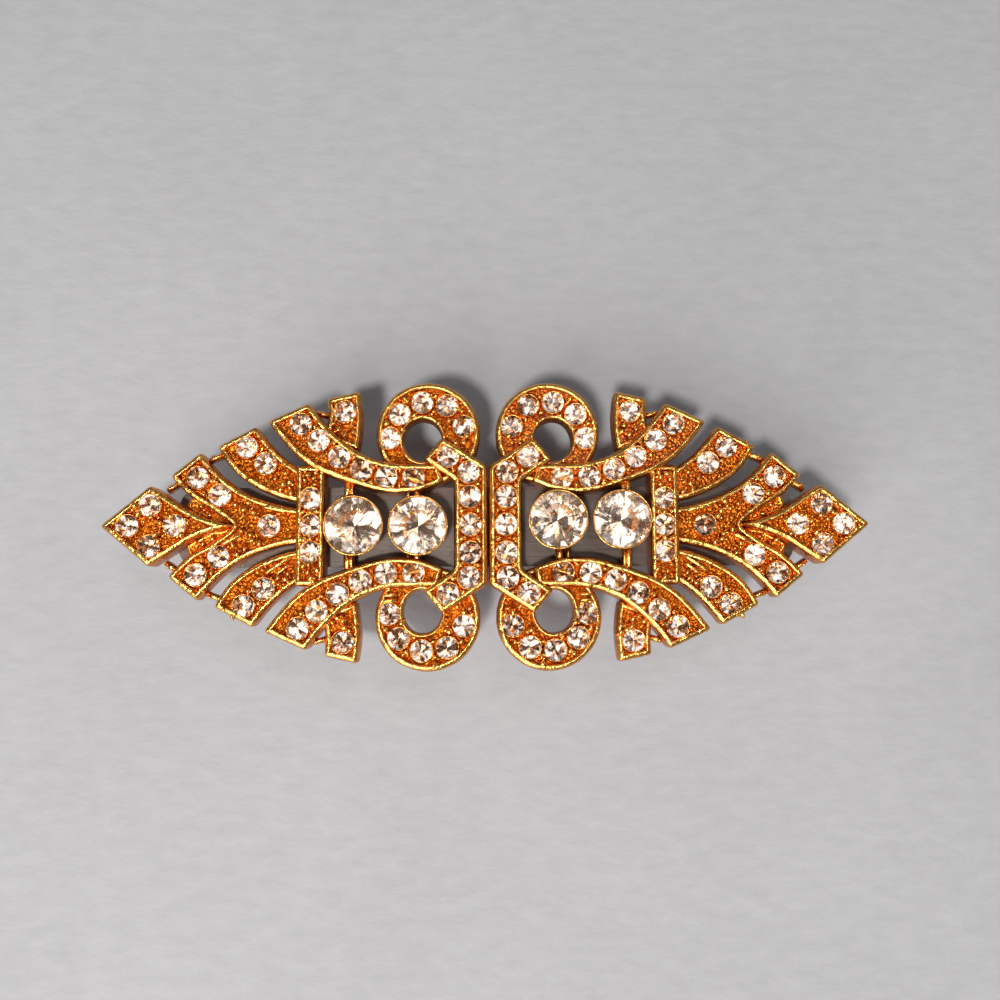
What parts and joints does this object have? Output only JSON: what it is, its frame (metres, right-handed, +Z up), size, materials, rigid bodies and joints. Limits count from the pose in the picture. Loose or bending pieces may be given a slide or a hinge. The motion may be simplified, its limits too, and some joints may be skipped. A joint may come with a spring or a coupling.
{
  "type": "rhinestone hair clip",
  "caption": "Gilt openwork hair clip set with clear stones, on a steel barrette bar with a hinged clasp arm and a pinch catch.",
  "frame": {"origin": "on the ground under the middle of the closed clasp arm, at the bottom centre of the whole clip", "axes": "+X along the clip towards the catch, +Y across it, +Z up, the way the stones face"},
  "size_m": [0.076, 0.0286, 0.0132],
  "materials": {
    "gilt": "polished",
    "crystal": "polished",
    "large_crystal": "polished",
    "steel": "satin",
    "spring_steel": "satin"
  },
  "bodies": {
    "ornament": {"barrette_bar": "steel", "bow_spring": "spring_steel", "catch_base": "spring_steel", "catch_rivet": "steel", "hinge_pin": "steel", "left_casting": "gilt", "left_centre_strip_stones": "crystal", "left_fan_root_stone": "crystal", "left_inner_crystal": "large_crystal", "left_inner_cup": "gilt", "left_lower_leaf_stones": "crystal", "left_lower_loop_stones": "crystal", "left_lower_sash_stones": "crystal", "left_outer_crystal": "large_crystal", "left_outer_cup": "gilt", "left_outer_strip_stones": "crystal", "left_tip_stones": "crystal", "left_upper_leaf_stones": "crystal", "left_upper_loop_stones": "crystal", "left_upper_sash_stones": "crystal", "right_casting": "gilt", "right_centre_strip_stones": "crystal", "right_fan_root_stone": "crystal", "right_inner_crystal": "large_crystal", "right_inner_cup": "gilt", "right_lower_leaf_stones": "crystal", "right_lower_loop_stones": "crystal", "right_lower_sash_stones": "crystal", "right_outer_crystal": "large_crystal", "right_outer_cup": "gilt", "right_outer_strip_stones": "crystal", "right_tip_stones": "crystal", "right_upper_leaf_stones": "crystal", "right_upper_loop_stones": "crystal", "right_upper_sash_stones": "crystal", "spring_rivet": "steel"},
    "clasp_arm": {"clasp_arm": "steel"},
    "catch_leg_front": {"catch_leg_front": "spring_steel"},
    "catch_leg_back": {"catch_leg_back": "spring_steel"}
  },
  "joints": [
    {"name": "clasp_hinge", "type": "hinge", "parent": "ornament", "child": "clasp_arm", "pos_m": [-0.028, 0, 0.0068], "axis": [0, 1, 0], "range_deg": [0, 75], "deforming": ["catch_leg_front", "catch_leg_back"]},
    {"name": "front_leg_pinch", "type": "hinge", "parent": "ornament", "child": "catch_leg_front", "pos_m": [0.0282, -0.00175, 0.0079], "axis": [1, 0, 0], "range_deg": [0, 7], "stiffness_Nm_per_rad": 0.02},
    {"name": "back_leg_pinch", "type": "hinge", "parent": "ornament", "child": "catch_leg_back", "pos_m": [0.0282, 0.00175, 0.0079], "axis": [-1, 0, 0], "range_deg": [0, 7], "stiffness_Nm_per_rad": 0.02}
  ],
  "couplings": [
    {"joint": "back_leg_pinch", "follows": "front_leg_pinch", "ratio": 1}
  ]
}
